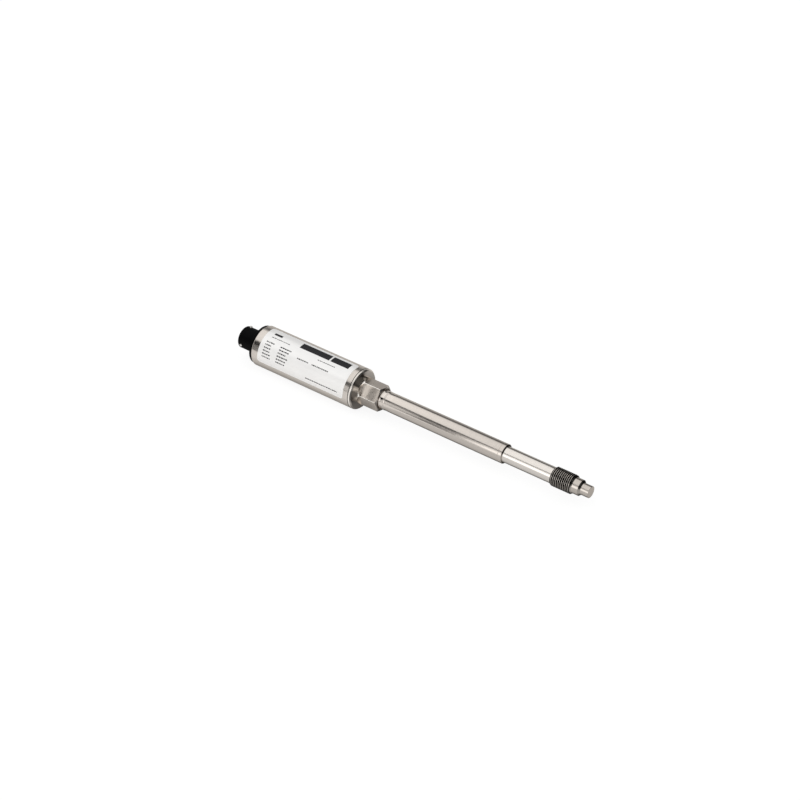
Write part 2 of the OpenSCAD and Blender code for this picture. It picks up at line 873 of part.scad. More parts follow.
probe_tip();
tip_diaphragm();
tip_plug();
capillary_tube();
stem_tube();
front_body();
front_seal();
housing_tube();
label();
rear_cap();
rear_seal();
connector_shell();
bayonet_studs();
connector_gasket();
connector_nut();
connector_insert();
contact_pins();
insert_snap_ring();
capsule_base();
sensing_cup();
capsule_ring();
strain_gauge();
gauge_leads();
gauge_board();
amplifier_board();
connector_board();
standoffs();
board_screws();
amplifier_chips();
trimmers();
capacitors();
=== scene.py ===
# A melt pressure sensor in a plain studio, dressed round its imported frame.
# Units are metres. X runs along the probe, with +X towards the process, and Z is up.
import math
import random

import bmesh
import bpy
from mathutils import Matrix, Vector


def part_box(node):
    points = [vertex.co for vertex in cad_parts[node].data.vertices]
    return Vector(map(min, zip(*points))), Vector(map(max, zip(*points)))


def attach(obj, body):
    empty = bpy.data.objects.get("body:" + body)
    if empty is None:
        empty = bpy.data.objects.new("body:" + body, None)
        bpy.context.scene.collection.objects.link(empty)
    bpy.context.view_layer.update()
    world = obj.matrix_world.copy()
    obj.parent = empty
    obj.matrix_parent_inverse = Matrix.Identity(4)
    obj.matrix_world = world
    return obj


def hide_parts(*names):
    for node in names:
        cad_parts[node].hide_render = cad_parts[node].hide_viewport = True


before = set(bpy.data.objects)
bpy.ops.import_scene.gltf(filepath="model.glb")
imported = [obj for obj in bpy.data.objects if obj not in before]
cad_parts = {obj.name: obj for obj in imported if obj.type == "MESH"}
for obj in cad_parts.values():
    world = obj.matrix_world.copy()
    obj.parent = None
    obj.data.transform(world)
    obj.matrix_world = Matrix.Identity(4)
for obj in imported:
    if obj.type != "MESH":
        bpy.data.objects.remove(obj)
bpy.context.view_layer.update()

MM = 0.001

# Boxes of the nodes that give places along the axis and radii.
tip_low, tip_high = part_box("probe_tip")
_, stem_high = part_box("stem_tube")
body_low, body_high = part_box("front_body")
tube_low, tube_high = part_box("housing_tube")
label_low, label_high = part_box("label")
shell_low, shell_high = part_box("connector_shell")

# Sizes that the boxes don't give, the same as in the part's source. Angles are in degrees.
TIP_R = 3.9 * MM
TIP_L = 5.56 * MM
SEAT_R = 5.25 * MM
SEAT_L = 5.64 * MM
THREAD_R = 6.35 * MM
THREAD_PITCH = 1.27 * MM
THREAD_DEPTH = 0.6134 * THREAD_PITCH
NECK_R = 5.335 * MM
NECK_L = 35.2 * MM
COLLAR_L = 3 * MM
STEM_WALL = 1.25 * MM
STEM_CHAMFER = 0.5 * MM
PASSAGE_R = 1.5 * MM
DISC_R = 3.55 * MM
DISC_T = 0.15 * MM
FILL_GAP = 0.2 * MM
PLUG_R = 2.5 * MM
PLUG_L = 6 * MM
SLIP = 0.05 * MM
RIM_L = 2.2 * MM
RIM_CHAMFER = 1 * MM
RIM_CHAMFER_ANGLE = 45
JOINT_BEVEL = 0.25 * MM
HEX_AF = 16 * MM
HEX_CORNER_CUT = 0.1 * MM
HEX_CHAMFER = 0.9 * MM
HEX_CHAMFER_ANGLE = 60
FLAT_BACK = 1.7 * MM
CUTTER_R = 6.3 * MM
SOCKET_L = 9 * MM
WELD_GROOVE_W = 0.6 * MM
WELD_GROOVE_L = 0.9 * MM
CAPSULE_BORE_R = 7.55 * MM
CAPSULE_BORE_L = 12 * MM
HOUSING_WALL = 1.2 * MM
HOUSING_EDGE = 0.6 * MM
REAR_CAP_T = 4 * MM
REAR_SHOULDER = 0.4 * MM
LABEL_T = 0.15 * MM
LABEL_CORNER = 2 * MM
BARREL_R = 7.6 * MM
BARREL_EDGE = 0.6 * MM
CAVITY_R = 6.3 * MM
CAVITY_L = 11.2 * MM
INSERT_BORE_R = 6.9 * MM
SHANK_R = 8.2 * MM
FLANGE_T = 2.3 * MM
KEYWAY_W = 1.4 * MM
MAIN_KEYWAY_W = 2.2 * MM
KEYWAY_DEPTH = 0.4 * MM

# Directions of the front flat, of the first stud and of the main keyway, in degrees from +Y
# over +Z, and those of the other keyways, counted from the main one.
HEX_AT = 137
STUD_AT = 66
MAIN_KEYWAY_AT = STUD_AT + 60
KEYWAY_ANGLES = [105, 140, 215, 265]

# Rounds, edges and the print's thickness, which the source leaves out or draws in another size.
NECK_ROUND = 0.3 * MM
TIP_EDGE = 0.1 * MM
RIM_ROUND = 1.5 * MM
BORE_EDGE = 0.2 * MM
FINE_EDGE = 0.08 * MM
INK_T = 0.012 * MM
# The arc that the film covers and its middle, in degrees. It reaches higher than the node does.
LABEL_ARC = 116
LABEL_AT = 129

# How finely the meshes are divided. KEYED_STEP is in degrees and PRINT_ROW in millimetres.
LATHE_SIDES = 256
PROBE_SIDES = 180
FLAT_STEPS = 26
KEYED_STEP = 2.5
THREAD_ROWS = 16
LABEL_ROWS = 72
PRINT_ROW = 0.5
ARC_STEPS = 9
CORNER_STEPS = 4
LARGEST_CUT = 0.45
HOLD_ROW = 0.12 * MM
MERGE_WITHIN = 0.0005 * MM

tip_end = tip_high.x
spigot_rear = tip_low.x
seat_end = tip_end - TIP_L
thread_front = seat_end - SEAT_L
thread_root_r = THREAD_R - THREAD_DEPTH
stem_front = stem_high.x + COLLAR_L
neck_front = stem_front + NECK_L
stem_r = stem_high.z
hex_face = body_high.x
hex_bar_r = HEX_AF / math.sqrt(3) - HEX_CORNER_CUT
chamfer_slope = math.tan(math.radians(HEX_CHAMFER_ANGLE))
housing_r = tube_high.z
tube_rear = tube_low.x
tube_front = tube_high.x
cap_face = tube_front + RIM_L
barrel_rim = shell_low.x
flange_r = shell_high.z
flange_face = tube_rear - FLANGE_T
label_r = housing_r + LABEL_T - INK_T
label_l = label_high.x - label_low.x
label_w = math.radians(LABEL_ARC) * label_r


def new_object(name, data):
    thing = bpy.data.objects.new(name, data)
    bpy.context.scene.collection.objects.link(thing)
    return thing


def aim(thing, place, target):
    """Puts a camera or a lamp in its place and points it at its target."""
    thing.location = place
    thing.rotation_mode = "QUATERNION"
    thing.rotation_quaternion = (target - place).to_track_quat("-Z", "Y")


# Camera

CAMERA_FROM = Vector((543.9, -912.0, 878.7)) * MM
CAMERA_AT = Vector((-124.85, -0.44, 5.56)) * MM
CAMERA_LENS = 100.9
SENSOR_W = 36
NEAREST = 0.05
FARTHEST = 50


def make_camera():
    data = bpy.data.cameras.new("camera")
    data.lens = CAMERA_LENS
    data.sensor_width = SENSOR_W
    data.clip_start = NEAREST
    data.clip_end = FARTHEST
    camera = new_object("camera", data)
    aim(camera, CAMERA_FROM, CAMERA_AT)
    bpy.context.scene.camera = camera


# Node helpers

def grey(level):
    return (level, level, level)


class Nodes:
    """Builds one node tree, with short calls for the nodes that the materials share."""

    def __init__(self, tree):
        self.tree = tree
        tree.nodes.clear()

    def add(self, kind, inputs=None, **settings):
        """A node of a kind. inputs gives sockets by name or number, each a value or a link."""
        node = self.tree.nodes.new(kind)
        for name, value in settings.items():
            setattr(node, name, value)
        for name, value in (inputs or {}).items():
            self.put(node.inputs[name], value)
        return node

    def put(self, socket, value):
        if isinstance(value, bpy.types.NodeSocket):
            self.tree.links.new(value, socket)
        elif socket.type == "RGBA":
            socket.default_value = (*value, 1)
        else:
            socket.default_value = value

    def math(self, operation, *values):
        return self.add("ShaderNodeMath", dict(enumerate(values)), operation=operation).outputs[0]

    def plus(self, a, b):
        return self.math("ADD", a, b)

    def minus(self, a, b):
        return self.math("SUBTRACT", a, b)

    def times(self, a, b):
        return self.math("MULTIPLY", a, b)

    def over(self, a, b):
        return self.math("DIVIDE", a, b)

    def blend(self, a, share_of_a, b, share_of_b):
        return self.plus(self.times(a, share_of_a), self.times(b, share_of_b))

    def length(self, a, b):
        """The length of a vector with the sides a and b."""
        return self.math("SQRT", self.plus(self.times(a, a), self.times(b, b)))

    def between(self, level, low, high):
        """Turns a level of 0 into low and a level of 1 into high."""
        return self.math("MULTIPLY_ADD", level, high - low, low)

    def ramp(self, factor, stops):
        """A ramp through (place, level) or (place, colour) stops."""
        node = self.add("ShaderNodeValToRGB", {"Fac": factor})
        marks = node.color_ramp.elements
        for i, (place, level) in enumerate(stops):
            mark = marks[i] if i < 2 else marks.new(place)
            mark.position = place
            colour = level if isinstance(level, tuple) else grey(level)
            mark.color = (*colour, 1)
        return node.outputs["Color"]

    def profile(self, value, stops):
        """A level against a length or an angle, through (value, level) stops."""
        low = stops[0][0]
        length = stops[-1][0] - low
        share = self.over(self.minus(value, low), length)
        return self.ramp(share, [((place - low) / length, level) for place, level in stops])

    def mix(self, factor, a, b, blend_type="MIX"):
        sockets = {"Factor": factor, "A": a, "B": b}
        node = self.add("ShaderNodeMix", sockets, data_type="RGBA", blend_type=blend_type)
        return node.outputs["Result"]

    def tint(self, colour, level):
        """Multiplies a colour by a level or by another colour."""
        return self.mix(1.0, colour, level, "MULTIPLY")

    def noise(self, vector, scale, detail=3.0, roughness=0.55):
        node = self.add("ShaderNodeTexNoise", {"Vector": vector, "Scale": scale, "Detail": detail,
                                               "Roughness": roughness})
        return node.outputs["Fac"]

    def place(self):
        return self.add("ShaderNodeTexCoord").outputs["Object"]

    def split(self, vector):
        node = self.add("ShaderNodeSeparateXYZ", {"Vector": vector})
        return node.outputs["X"], node.outputs["Y"], node.outputs["Z"]

    def join(self, x, y, z):
        return self.add("ShaderNodeCombineXYZ", {"X": x, "Y": y, "Z": z}).outputs["Vector"]

    def bump(self, height, distance, below=None):
        """The normal of bumps, on top of the normal of the bumps below them."""
        node = self.add("ShaderNodeBump", {"Height": height, "Distance": distance})
        if below is not None:
            self.put(node.inputs["Normal"], below)
        return node.outputs["Normal"]

    def ray(self, kind):
        return self.add("ShaderNodeLightPath").outputs["Is " + kind + " Ray"]

    def seen(self):
        """1 for what the camera sees, straight or through glass."""
        return self.math("MAXIMUM", self.ray("Camera"), self.ray("Transmission"))


def new_material(name):
    material = bpy.data.materials.new(name)
    material.use_nodes = True
    return material, Nodes(material.node_tree)


def finish_material(nodes, inputs):
    shader = nodes.add("ShaderNodeBsdfPrincipled", inputs)
    nodes.add("ShaderNodeOutputMaterial", {"Surface": shader.outputs[0]})


# Floor, world and lamp

BLACK = grey(0.0)
WHITE = grey(1.0)

FLOOR_SIZE = 8
FLOOR_COLOUR = (0.76, 0.74, 0.72)
SEEN_FLOOR_COLOUR = grey(0.2)
FLOOR_GLOW = 0.86
# The soft light that falls on dull surfaces comes from above and in front, against the same angle
# as SKY_BANDS.
SOFT_LIGHT = [(0, 0.0), (50, 0.7), (80, 0.7), (110, 0.75), (140, 1.2), (180, 0.8)]
KEY_POWER = 7
KEY_SIZE = 1.6
KEY_FROM = Vector((-0.5, -1.0, 1.9))

OVERHEAD = 90.0
# What the steel mirrors: brightness against the direction's angle from +Y over the top to -Y.
SKY_BANDS = [(0, 0.5), (7, 0.45), (14, 0.2), (22, 0.12), (38, 0.12), (47.5, 0.95), (90, 1.0),
             (130.5, 0.95), (135, 0.0), (150, 0.0), (152, 0.6), (180, 0.6)]
# Against X, the light overhead widens behind and in front, and its level changes.
BACK_WIDTH = [(-0.52, 0.84), (-0.483, 0.91), (-0.445, 1.0), (-0.42, 1.1), (-0.405, 1.12), (-0.39, 1.0)]
FRONT_WIDTH = [(-0.524, 0.855), (-0.485, 1.0), (-0.42, 1.03), (-0.405, 1.05), (-0.392, 0.9)]
TOP_LIGHT = [(-0.475, 1.2), (-0.463, 1.2), (-0.455, 0.92), (-0.437, 0.88), (-0.431, 0.66),
             (-0.4255, 0.7), (-0.421, 0.96), (-0.4, 0.92)]
# Beyond the process end the light is low all round, and lowest behind.
PROCESS_END = [(0, 0.04), (22, 0.05), (40, 0.4), (143, 0.4), (158, 0.5), (180, 0.55)]
PROCESS_END_X = [(0.15, 0), (0.36, 1)]
# Beyond the connector it is even, against -X.
REAR_LEVEL = 0.9
REAR_X = [(0.62, 0), (0.8, 1)]

# How bright mirrors see the white floor, with a painted shadow: under the housing, and against Y under
# the probe.
HOUSING_FLOOR = [(-0.028, 0.9), (-0.016, 0.66), (-0.0115, 0.42), (-0.007, 0.28), (0.004, 0.22),
                 (0.016, 0.46), (0.05, 0.6)]
PROBE_FLOOR = [(-0.1, 0.66), (-0.027, 0.65), (-0.017, 0.62), (-0.0105, 0.54), (-0.0047, 0.28),
               (-0.002, 0.08), (0.008, 0.03), (0.02, 0.15), (0.035, 0.38), (0.1, 0.46)]
PROBE_FLOOR_X = [(-0.149, 0), (-0.142, 1)]
# Beyond the tip it is open and even.
OPEN_FLOOR = 0.57
OPEN_FLOOR_X = [(0.019, 0), (0.026, 1)]
# Behind the probe's front end the floor, as mirrors see it, is in painted shade.
FAR_SHADE_X = [(-0.055, 0), (-0.02, 0.5), (0.03, 0.9)]
FAR_SHADE_Y = [(0.02, 0), (0.055, 1)]
# Painted shadow of the hexagon and the housing's front on the floor between them, as mirrors see it.
HEX_SHADE = 0.35
HEX_SHADE_X = [(-0.162, 0), (-0.156, 1), (-0.148, 0.8), (-0.135, 0)]
HEX_SHADE_Y = [(-0.018, 0), (-0.012, 1), (0.02, 1), (0.04, 0)]

# A long reflector in front, which only mirrors see. Its lower part and its upper part each have
# their own brightness against X, and the lower one is darker at its foot.
REFLECTOR_Y = -0.3
REFLECTOR_TOP = 0.272
REFLECTOR_FROM = -0.6
REFLECTOR_TO = 0.3
LOWER_LEVELS = [(-0.6, 0.15), (-0.38, 0.15), (-0.36, 0.88), (-0.28, 0.78), (-0.27, 0.72),
                (-0.262, 0.06), (-0.252, 0.0), (-0.236, 0.36), (-0.228, 0.0), (-0.221, 0.2),
                (-0.214, 1.6), (-0.19, 1.45), (0.3, 1.2)]
LOWER_FOOT = [(-0.014, 0.5), (0.04, 1.0)]
UPPER_LEVELS = [(-0.6, 0.0), (-0.35, 0.0), (-0.325, 0.8), (-0.308, 0.48), (-0.296, 0.0), (-0.247, 0.0),
                (-0.24, 0.6), (-0.23, 0.9), (0.3, 0.78)]
UPPER_FROM = [(0.15, 0), (0.165, 1)]


def flat_sheet(name, corners, material):
    mesh = bpy.data.meshes.new(name)
    mesh.from_pydata(corners, [], [(0, 1, 2, 3)])
    mesh.materials.append(material)
    return new_object(name, mesh)


def make_floor():
    """White paper. Mirrors see it in the brightness that the maps above give, which paint the object's
    shadow into it.
    """
    material, nodes = new_material("floor_paper")
    x, y, _ = nodes.split(nodes.place())
    # The maps paint shadow into the glow that mirrors see.
    probe = nodes.mix(nodes.profile(x, OPEN_FLOOR_X), nodes.profile(y, PROBE_FLOOR), grey(OPEN_FLOOR))
    far = nodes.times(nodes.profile(x, FAR_SHADE_X), nodes.profile(y, FAR_SHADE_Y))
    probe = nodes.mix(far, probe, BLACK)
    whole = nodes.mix(nodes.profile(x, PROBE_FLOOR_X), nodes.profile(y, HOUSING_FLOOR), probe)
    shaded = nodes.times(nodes.profile(x, HEX_SHADE_X), nodes.profile(y, HEX_SHADE_Y))
    mirrored = nodes.mix(nodes.times(shaded, HEX_SHADE), whole, BLACK)
    glossy = nodes.ray("Glossy")
    seen = nodes.seen()
    paper = nodes.mix(glossy, nodes.mix(seen, FLOOR_COLOUR, SEEN_FLOOR_COLOUR), BLACK)
    diffuse = nodes.add("ShaderNodeBsdfDiffuse", {"Color": paper})
    white = nodes.mix(glossy, grey(FLOOR_GLOW), mirrored)
    glow = nodes.add("ShaderNodeEmission", {"Color": white,
                                            "Strength": nodes.math("MAXIMUM", seen, glossy)})
    both = nodes.add("ShaderNodeAddShader", {0: diffuse.outputs[0], 1: glow.outputs[0]})
    nodes.add("ShaderNodeOutputMaterial", {"Surface": both.outputs[0]})
    half = FLOOR_SIZE / 2
    z = -housing_r - LABEL_T
    floor = flat_sheet("floor", [(-half, -half, z), (half, -half, z), (half, half, z), (-half, half, z)],
                       material)


def make_world():
    """A white background, a soft light for dull surfaces, and bands of light for mirrors."""
    world = bpy.data.worlds.new("studio")
    bpy.context.scene.world = world
    world.use_nodes = True
    nodes = Nodes(world.node_tree)
    x, y, z = nodes.split(nodes.add("ShaderNodeTexCoord").outputs["Generated"])
    angle = nodes.math("DEGREES", nodes.math("ARCTAN2", z, y))
    in_front = nodes.math("GREATER_THAN", angle, OVERHEAD)
    width = nodes.mix(in_front, nodes.profile(x, BACK_WIDTH), nodes.profile(x, FRONT_WIDTH))
    from_top = nodes.over(nodes.minus(angle, OVERHEAD), width)
    bands = nodes.profile(nodes.plus(from_top, OVERHEAD), SKY_BANDS)
    top = nodes.tint(bands, nodes.profile(x, TOP_LIGHT))
    sky = nodes.mix(nodes.profile(x, PROCESS_END_X), top, nodes.profile(angle, PROCESS_END))
    sky = nodes.mix(nodes.profile(nodes.times(x, -1.0), REAR_X), sky, grey(REAR_LEVEL))
    plain = nodes.mix(nodes.ray("Diffuse"), sky, nodes.profile(angle, SOFT_LIGHT))
    background = nodes.add("ShaderNodeBackground", {"Color": nodes.mix(nodes.seen(), plain, WHITE)})
    nodes.add("ShaderNodeOutputWorld", {"Surface": background.outputs[0]})


def make_reflector():
    material, nodes = new_material("reflector")
    x, _, z = nodes.split(nodes.place())
    lower = nodes.tint(nodes.profile(x, LOWER_LEVELS), nodes.profile(z, LOWER_FOOT))
    level = nodes.mix(nodes.profile(z, UPPER_FROM), lower, nodes.profile(x, UPPER_LEVELS))
    glow = nodes.add("ShaderNodeEmission", {"Color": level})
    nodes.add("ShaderNodeOutputMaterial", {"Surface": glow.outputs[0]})
    foot = -housing_r
    corners = [(REFLECTOR_FROM, REFLECTOR_Y, foot), (REFLECTOR_TO, REFLECTOR_Y, foot),
               (REFLECTOR_TO, REFLECTOR_Y, REFLECTOR_TOP), (REFLECTOR_FROM, REFLECTOR_Y, REFLECTOR_TOP)]
    card = flat_sheet("reflector", corners, material)
    card.visible_camera = False
    card.visible_diffuse = False
    card.visible_shadow = False


def make_lamp():
    data = bpy.data.lights.new("key", "AREA")
    data.energy = KEY_POWER
    data.size = KEY_SIZE
    lamp = new_object("key", data)
    aim(lamp, KEY_FROM, CAMERA_AT)
    lamp.visible_glossy = False


# Materials

# Turned metal: colour, roughness, anisotropy, and the width and depth of the tool's marks in mm.
TURNED = {
    "housing_steel": ((0.66, 0.61, 0.56), 0.21, 0.5, 0.22, 0.0006),
    "chamfer_steel": ((0.62, 0.57, 0.52), 0.14, 0.4, 0.3, 0.0006),
    "rim_face_steel": ((0.68, 0.625, 0.57), 0.14, 0.4, 0.3, 0.0006),
    "edge_steel": ((0.92, 0.88, 0.83), 0.14, 0.2, 0.2, 0.0004),
    "ring_steel": ((0.9, 0.85, 0.79), 0.3, 0.2, 0.2, 0.0004),
    "drawn_steel": ((0.72, 0.66, 0.605), 0.15, 0.4, 0.12, 0.0002),
    "ground_steel": ((0.895, 0.842, 0.785), 0.16, 0.4, 0.1, 0.0002),
    "seat_steel": ((0.66, 0.603, 0.547), 0.16, 0.4, 0.1, 0.0003),
    "shoulder_steel": ((0.62, 0.57, 0.52), 0.14, 0.4, 0.1, 0.0003),
    # The joint's steel is nearly black: painted shade in the narrow groove where the sleeve meets the
    # front body.
    "joint_shade_steel": ((0.05, 0.045, 0.04), 0.4, 0.2, 0.1, 0.0005),
    "inner_steel": ((0.6, 0.57, 0.53), 0.3, 0.5, 0.2, 0.0008),
    "bright_steel": ((0.74, 0.72, 0.69), 0.18, 0.3, 0.1, 0.0003),
    "contact_gold": ((0.86, 0.6, 0.24), 0.24, 0.3, 0.1, 0.0003),
}
# Plastic, rubber and paint: colour, roughness, width and depth of the grain in mm, and gloss.
MOULDED = {
    "black_finish": ((0.0018, 0.0018, 0.002), 0.46, 0.12, 0.004, 0.04),
    "black_resin": ((0.012, 0.012, 0.013), 0.5, 0.2, 0.01, 0.5),
    "seal_rubber": ((0.012, 0.012, 0.012), 0.62, 0.1, 0.006, 0.4),
    "chip_resin": ((0.014, 0.014, 0.015), 0.55, 0.08, 0.006, 0.5),
    "trimmer_plastic": ((0.02, 0.08, 0.42), 0.35, 0.3, 0.006, 0.5),
    "wire_cover": ((0.45, 0.02, 0.015), 0.4, 0.2, 0.004, 0.5),
    "label_ink": ((0.014, 0.014, 0.016), 0.5, 0.1, 0.002, 0.25),
}
# Tones against the angle round the axis, from -180 to 180, which paint wedge-shaped reflections and
# shade into the colour: of the housing's front face, of the chamfer and face at the hexagon's front end,
# and of the probe's shoulders, with painted shade on their upper side.
PAINTED_WEDGES = {
    "rim_face_steel": [(-180, 0.22), (-165, 0.8), (-82, 0.85), (-72, 1.4), (-60, 1.02), (-36, 1.05),
                       (-25, 1.45), (-14, 1.05), (4, 1.05), (14, 1.4), (66, 1.4), (75, 1.25),
                       (91, 0.13), (120, 0.24), (133, 0.06), (139, 0.56), (147, 0.56), (154, 0.24),
                       (180, 0.22)],
    "chamfer_steel": [(-180, 0.4), (-160, 0.9), (-145, 1.4), (-120, 1.2), (60, 1.2), (72, 1.3),
                      (91, 0.55), (108, 1.1), (120, 0.9), (128, 0.28), (142, 0.25), (150, 0.9),
                      (158, 0.8), (170, 0.45), (180, 0.4)],
    "shoulder_steel": [(-180, 0.9), (-30, 0.9), (40, 0.2), (72, 0.06), (86, 0.04), (98, 0.035),
                       (108, 0.075), (120, 0.13), (131, 0.05), (146, 0.09), (158, 0.8), (180, 0.9)],
}
# Width of the broad bands on turned metal, in marks of the tool.
BAND_MARKS = 12
# Turns the highlight across the marks.
QUARTER_TURN = 0.25
# At a grazing angle steel is a little warmer than white.
GRAZING_TINT = (1.0, 0.96, 0.92)
# Tone of the thread from its root to its crest: painted shade on the root and flanks, and a painted
# highlight on the crest.
THREAD_PAINTED_LIGHT = [(0.0, (0.01, 0.009, 0.008)), (0.57, (0.018, 0.016, 0.014)), (0.8, (0.22, 0.2, 0.18)),
                (0.93, (0.8, 0.74, 0.68))]
# The largest tilt of the hexagon's front flat, as a slope, and the share of it against X.
FLAT_TILT = math.tan(math.radians(6.5))
FLAT_TILTS = [(-0.1512, 0), (-0.1497, 0.8), (-0.1487, 1), (-0.1465, 0.85), (-0.1445, 0), (-0.142, 0),
              (-0.1395, 0.6)]


def turned_metal(name, colour, roughness, anisotropy, mark_w, mark_depth):
    """Metal turned on a lathe: the tool's marks run round the X axis, on faces and on sides."""
    material, nodes = new_material(name)
    x, y, z = nodes.split(nodes.place())
    radius = nodes.length(y, z)
    turn = nodes.math("ARCTAN2", z, y)

    def rings(width, change_round, **noise):
        at = nodes.join(nodes.over(x, width), nodes.over(radius, width), nodes.times(turn, change_round))
        return nodes.noise(at, scale=1.0, **noise)

    marks = rings(mark_w * MM, change_round=0.8, detail=4.0, roughness=0.6)
    bands = rings(BAND_MARKS * mark_w * MM, change_round=0.5, detail=2.0)
    smears = nodes.noise(nodes.place(), scale=160.0)
    shade = nodes.between(marks, 0.95, 1.05)
    blotches = nodes.between(nodes.plus(bands, smears), 0.94, 1.0)
    tinted = nodes.tint(colour, nodes.times(shade, blotches))
    # The tint paints wedge-shaped reflections and shade into the colour, against the angle round the
    # axis.
    if name in PAINTED_WEDGES:
        tinted = nodes.tint(tinted, nodes.profile(nodes.math("DEGREES", turn), PAINTED_WEDGES[name]))
    tangent = nodes.add("ShaderNodeTangent", direction_type="RADIAL", axis="X")
    finish_material(nodes, {
        "Base Color": tinted,
        "Metallic": 1.0,
        "Roughness": nodes.between(nodes.plus(marks, smears), 0.6 * roughness, roughness),
        "Anisotropic": anisotropy,
        "Anisotropic Rotation": QUARTER_TURN,
        "Tangent": tangent.outputs[0],
        "Specular Tint": GRAZING_TINT,
        "Normal": nodes.bump(marks, mark_depth * MM),
    })
    return material


def thread_steel():
    """The thread's crests shine with a painted highlight, and its flanks and root lie in painted shade.
    """
    material, nodes = new_material("thread_steel")
    place = nodes.place()
    _, y, z = nodes.split(place)
    height = nodes.over(nodes.minus(nodes.length(y, z), thread_root_r), THREAD_DEPTH)
    speck = nodes.noise(place, scale=900.0)
    finish_material(nodes, {
        "Base Color": nodes.tint(nodes.ramp(height, THREAD_PAINTED_LIGHT), nodes.between(speck, 0.85, 1.15)),
        "Metallic": 1.0,
        "Roughness": nodes.ramp(speck, [(0.3, 0.16), (0.7, 0.24)]),
        "Normal": nodes.bump(speck, 0.0006 * MM),
    })
    return material


def milled_steel():
    """The hexagon's flats: fine curved marks of the cutter, duller than the turned faces."""
    colour = (0.86, 0.775, 0.69)
    sweep_centre_x = -0.16
    mark_w = 0.25 * MM
    change_across = 60.0
    flat_share = 0.99
    material, nodes = new_material("milled_steel")
    place = nodes.place()
    x, y, z = nodes.split(place)
    across = nodes.blend(y, 0.7, z, 0.4)
    sweep = nodes.length(nodes.minus(x, sweep_centre_x), across)
    marks_at = nodes.join(nodes.over(sweep, mark_w), nodes.times(across, change_across), 0.0)
    lines = nodes.noise(marks_at, scale=1.0)
    uneven = nodes.plus(lines, nodes.noise(place, scale=300.0, detail=4.0))
    # The front flat isn't quite true: it tilts a little, by an amount that changes along X.
    facing = math.radians(HEX_AT)
    sideways = nodes.blend(y, -math.sin(facing), z, math.cos(facing))
    height = nodes.blend(y, math.cos(facing), z, math.sin(facing))
    on_front = nodes.math("GREATER_THAN", height, flat_share * HEX_AF / 2)
    tilt = nodes.times(nodes.profile(x, FLAT_TILTS), FLAT_TILT)
    twist = nodes.times(nodes.times(sideways, tilt), on_front)
    finish_material(nodes, {
        "Base Color": nodes.tint(colour, nodes.between(uneven, 0.84, 0.98)),
        "Metallic": 1.0,
        "Roughness": nodes.between(uneven, 0.2, 0.3),
        "Normal": nodes.bump(twist, 1.0, below=nodes.bump(lines, 0.0012 * MM)),
    })
    return material


def moulded(name, colour, roughness, grain_w, grain_depth, gloss):
    """Plastic, rubber or paint with a fine grain and slight wear."""
    material, nodes = new_material(name)
    place = nodes.place()
    grain = nodes.noise(place, scale=1 / (grain_w * MM))
    wear = nodes.noise(place, scale=90.0, detail=4.0, roughness=0.6)
    finish_material(nodes, {
        "Base Color": nodes.tint(colour, nodes.between(wear, 0.85, 1.15)),
        "Roughness": nodes.between(nodes.plus(grain, wear), roughness - 0.14, roughness),
        "Specular IOR Level": gloss,
        "Normal": nodes.bump(grain, grain_depth * MM),
    })
    return material


def label_film():
    """Satin white film with faint unevenness where it lies on the tube."""
    duller = (0.885, 0.876, 0.864)
    whiter = (0.92, 0.91, 0.897)
    material, nodes = new_material("label_film")
    place = nodes.place()
    waves = nodes.noise(place, scale=120.0, detail=2.0)
    fine = nodes.noise(place, scale=6000.0, detail=2.0)
    finish_material(nodes, {
        "Base Color": nodes.ramp(waves, [(0.3, duller), (0.7, whiter)]),
        "Roughness": nodes.between(fine, 0.17, 0.23),
        "Specular IOR Level": 1.0,
        "Normal": nodes.bump(nodes.plus(waves, nodes.times(fine, 0.02)), 0.01 * MM),
    })
    return material


def circuit_board():
    """Green solder resist over copper tracks."""
    dark_green = (0.008, 0.085, 0.035)
    green = (0.014, 0.13, 0.055)
    track_green = (0.03, 0.24, 0.09)
    material, nodes = new_material("circuit_board")
    place = nodes.place()
    x, _, z = nodes.split(place)
    bricks = {"Vector": nodes.join(x, z, 0.0), "Scale": 190.0, "Mortar Size": 0.03,
              "Brick Width": 0.9, "Row Height": 0.24}
    tracks = nodes.add("ShaderNodeTexBrick", bricks).outputs["Fac"]
    speck = nodes.noise(place, scale=900.0)
    base = nodes.mix(speck, dark_green, green)
    finish_material(nodes, {
        "Base Color": nodes.mix(nodes.times(tracks, 0.75), base, track_green),
        "Roughness": nodes.between(speck, 0.25, 0.4),
        "Normal": nodes.bump(tracks, 0.03 * MM),
    })
    return material


def gauge_film():
    """Amber film with the thin metal grid of a strain gauge."""
    amber = (0.48, 0.21, 0.02)
    light_amber = (0.62, 0.3, 0.04)
    foil = (0.75, 0.73, 0.68)
    fold_w = 0.12 * MM
    grid_half = 2.2 * MM
    material, nodes = new_material("gauge_film")
    place = nodes.place()
    _, y, z = nodes.split(place)
    fold = nodes.math("ABSOLUTE", nodes.math("SINE", nodes.over(y, fold_w)))
    inside = nodes.math("LESS_THAN", nodes.math("ABSOLUTE", z), grid_half)
    grid = nodes.times(nodes.math("GREATER_THAN", fold, 0.6), inside)
    film = nodes.mix(nodes.noise(place, scale=1500.0), amber, light_amber)
    finish_material(nodes, {
        "Base Color": nodes.mix(grid, film, foil),
        "Metallic": nodes.times(grid, 0.9),
        "Roughness": 0.3,
        "Normal": nodes.bump(grid, 0.01 * MM),
    })
    return material


def make_materials():
    materials = {name: turned_metal(name, *values) for name, values in TURNED.items()}
    materials.update({name: moulded(name, *values) for name, values in MOULDED.items()})
    materials.update({
        "thread_steel": thread_steel(),
        "milled_steel": milled_steel(),
        "label_film": label_film(),
        "circuit_board": circuit_board(),
        "gauge_film": gauge_film(),
    })
    return materials


# Forms round the axis

